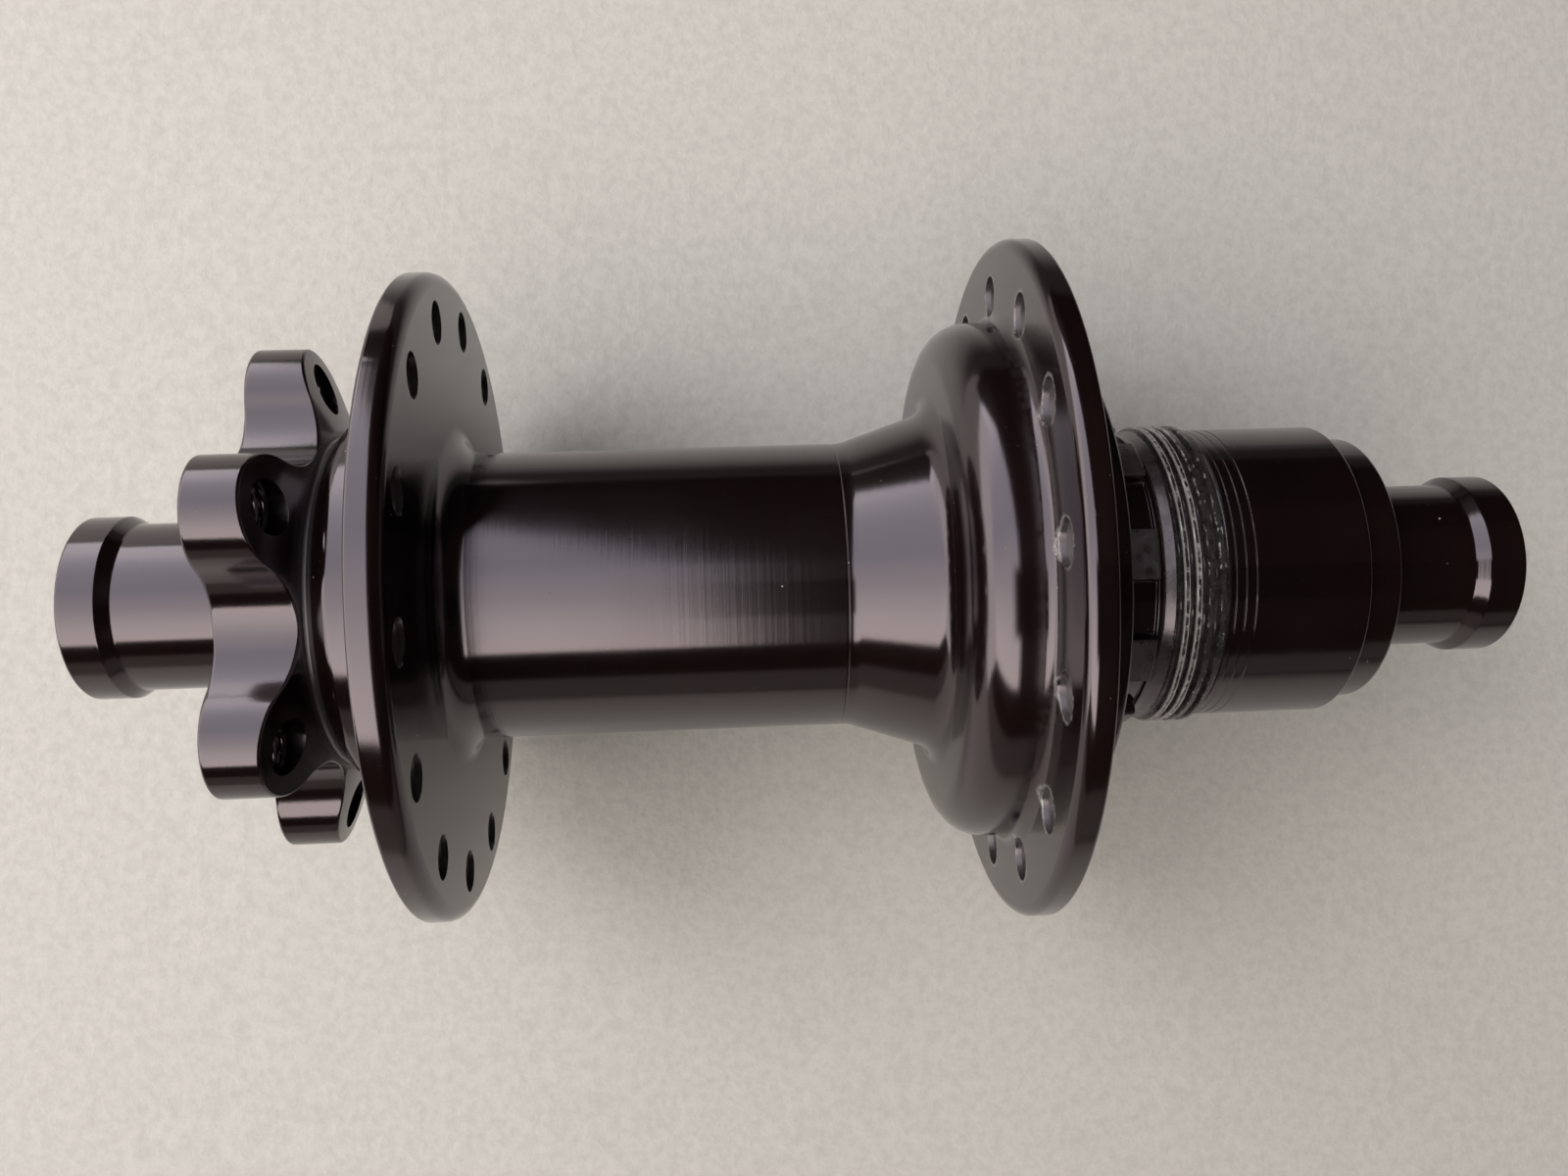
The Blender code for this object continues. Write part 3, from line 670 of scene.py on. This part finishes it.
# ---- floor ----
def make_floor():
    """A plain pale slab that touches both flanges, so it leans a little towards the axle's ends."""
    disc_a, drive_a = -38.0, 21.5
    slope = (DRIVE_FLANGE_R - DISC_FLANGE_R) / (drive_a - disc_a)
    graph = Graph("pale_floor")
    grit = graph.noise(graph.here(), 0.7, 5.0, 0.65)
    shade = graph.mix(graph.ramp(grit, 0.25, 0.75), (0.36, 0.343, 0.318, 1.0), (0.42, 0.40, 0.373, 1.0))
    graph.paint(Base_Color=shade, Roughness=0.9, Normal=graph.bump(grit, 0.12))
    mesh = bpy.data.meshes.new("floor")
    size = 3.0
    points = []
    for x, y in ((-size, -size), (size, -size), (size, size), (-size, size)):
        a = -y / MM
        points.append((x, y, (-DISC_FLANGE_R - 0.05 - slope * (a - disc_a)) * MM))
    mesh.from_pydata(points, [], [(0, 1, 2, 3)])
    mesh.materials.append(graph.material)
    floor = bpy.data.objects.new("floor", mesh)
    bpy.context.scene.collection.objects.link(floor)


make_floor()


# ---- light: glowing sheets above and round the hub, black cloths that shade its reflections, one lamp ----
BACK, FRONT, CEILING = -1.05, 3.0, 1.0  # the sheets' places, in metres
FLAGS_FRONT, FLAGS_DRIVE_SIDE, FLAGS_DISC_SIDE = 0.3, -0.6, 0.14


def silk(name, corners, stops, axis=0, lights=True):
    """A glowing sheet, seen only in reflections and as light; stops are (place along an axis, colour)."""
    graph = Graph(name)
    first, last = stops[0][0], stops[-1][0]
    metres = graph.sides(graph.node("TexCoord", 3))
    along = graph.node("MapRange", inputs={0: metres[axis], 1: first, 2: last})
    ramp = graph.tree.nodes.new("ShaderNodeValToRGB")
    graph.feed(ramp.inputs[0], along)
    marks = ramp.color_ramp.elements
    while len(marks) < len(stops):
        marks.new(0.5)
    for mark, (where, colour) in zip(marks, stops):
        mark.position = (where - first) / (last - first)
        mark.color = (*colour, 1.0)
    glow = graph.tree.nodes.new("ShaderNodeEmission")
    graph.feed(glow.inputs[0], ramp.outputs[0])
    output = next(node for node in graph.tree.nodes if node.type == "OUTPUT_MATERIAL")
    graph.feed(output.inputs["Surface"], glow.outputs[0])
    sheet(name, corners, graph.material, lights)


def sheet(name, corners, paint, lights=True):
    """A flat piece of the studio that the camera doesn't see. Without lights it shows only in reflections."""
    mesh = bpy.data.meshes.new(name)
    mesh.from_pydata(corners, [], [tuple(range(len(corners)))])
    mesh.materials.append(paint)
    made = bpy.data.objects.new(name, mesh)
    bpy.context.scene.collection.objects.link(made)
    made.visible_camera = False
    made.visible_diffuse = lights
    made.visible_shadow = False


def lamp(name, centre, target, size, radiance, colour):
    """A rectangular area light that lights matt surfaces, and isn't seen in reflections."""
    light = bpy.data.lights.new(name, "AREA")
    light.shape = "RECTANGLE"
    light.size, light.size_y = size
    light.energy = radiance * size[0] * size[1] * 4.0
    light.color = colour
    made = bpy.data.objects.new(name, light)
    made.location = centre
    made.rotation_euler = (Vector(target) - Vector(centre)).to_track_quat("-Z", "Y").to_euler()
    made.visible_glossy = False
    bpy.context.scene.collection.objects.link(made)


def wall(start, end, height):
    """The corners of an upright sheet that stands on z = 0 between two (x, y) places."""
    return [(*start, 0.0), (*start, height), (*end, height), (*end, 0.0)]


overhead = [(BACK, 0.0), (BACK, 1.85), (FRONT, 1.85), (FRONT, 0.9), (0.9, 0.17), (0.3, 0.02)]
sky = [(BACK, (4.5, 4.2, 3.8)), (-0.5, (4.0, 3.8, 3.6)), (0.0, (2.7, 2.65, 2.65)), (0.4, (2.0, 2.05, 2.2))]
sky += [(1.0, (2.2, 2.25, 2.4)), (FRONT, (3.5, 3.5, 3.6))]
silk("overhead", [(x, y, CEILING) for x, y in overhead], sky)
bright = [(0.0, (3.6, 3.6, 3.6)), (CEILING, (3.5, 3.5, 3.6))]
silk("front_horizon", wall((FRONT, 0.9), (FRONT, 2.6), CEILING), bright, axis=2)
dusk = [(-1.6, (0.10, 0.09, 0.08)), (-0.3, (0.22, 0.20, 0.18)), (2.6, (0.42, 0.37, 0.33))]
silk("back_horizon", wall((BACK, -1.6), (BACK, 2.6), 0.38), dusk, axis=1, lights=False)
warm = [(BACK, (3.0, 2.85, 2.7)), (FRONT, (2.8, 2.75, 2.75))]
silk("disc_horizon", wall((BACK, 1.86), (FRONT, 1.86), CEILING), warm)


def cloth(name, fades, depth=1.0):
    """Black cloth that thins out; each fade is (axis, where it is clear, where it is solid)."""
    graph = Graph(name)
    graph.paint(Base_Color=(0.004, 0.003, 0.003, 1.0), Roughness=0.9)
    metres = graph.sides(graph.node("TexCoord", 3))
    cover = depth
    for axis, clear, solid in fades:
        cover = graph.math("MULTIPLY", graph.ramp(metres[axis], clear, solid), cover)
    return graph.paint(Alpha=cover)


card = [(-0.062, 0.022), (0.014, 0.022), (0.014, -0.13), (-0.062, -0.13)]
lens_cloth = cloth("lens_cloth", [(0, -0.062, -0.050), (0, 0.014, 0.002), (1, 0.022, -0.004)])
sheet("lens_flag", [(x, y, 0.1365) for x, y in card], lens_cloth, lights=False)
hill = [(FLAGS_DISC_SIDE, -0.034), (FLAGS_DISC_SIDE, 0.03), (0.11, 0.08), (0.0, 0.26)]
hill += [(FLAGS_DRIVE_SIDE, 0.26), (FLAGS_DRIVE_SIDE, -0.034)]
front_cloth = cloth("front_cloth", [(2, 0.27, 0.2)])
sheet("front_flag", [(FLAGS_FRONT, y, z) for y, z in hill], front_cloth, lights=False)
strip = [(0.04, FLAGS_DISC_SIDE), (FLAGS_FRONT, FLAGS_DISC_SIDE)]
strip += [(FLAGS_FRONT, FLAGS_DRIVE_SIDE), (0.04, FLAGS_DRIVE_SIDE)]
floor_cloth = cloth("floor_cloth", [(0, 0.04, 0.14)], 0.93)
sheet("floor_flag", [(x, y, -0.0325) for x, y in strip], floor_cloth, lights=False)

lamp("floor_wash", (0.15, 0.3, 0.42), (0.0, 0.0, 0.0), (0.25, 0.25), 6.8, (1.0, 0.97, 0.94))

world = bpy.data.worlds.new("room")
world.use_nodes = True
world.node_tree.nodes["Background"].inputs["Color"].default_value = (1.0, 0.8, 0.65, 1.0)
world.node_tree.nodes["Background"].inputs["Strength"].default_value = 0.03
bpy.context.scene.world = world
bpy.context.scene.view_settings.view_transform = "Standard"

# ---- camera: straight above, over a point 9.4 mm to the disc side of the middle ----
camera_data = bpy.data.cameras.new("camera")
camera_data.lens = 28.73
camera_data.sensor_width = 36.0
camera_data.clip_start = 0.005
camera = bpy.data.objects.new("camera", camera_data)
camera.matrix_world = Matrix.Translation((0.0, 0.00942, 0.1344))
for angle, axis in ((-90, "Z"), (-0.11, "X"), (-2.985, "Y"), (-1.922, "Z")):
    camera.matrix_world = camera.matrix_world @ Matrix.Rotation(math.radians(angle), 4, axis)
bpy.context.scene.collection.objects.link(camera)
bpy.context.scene.camera = camera
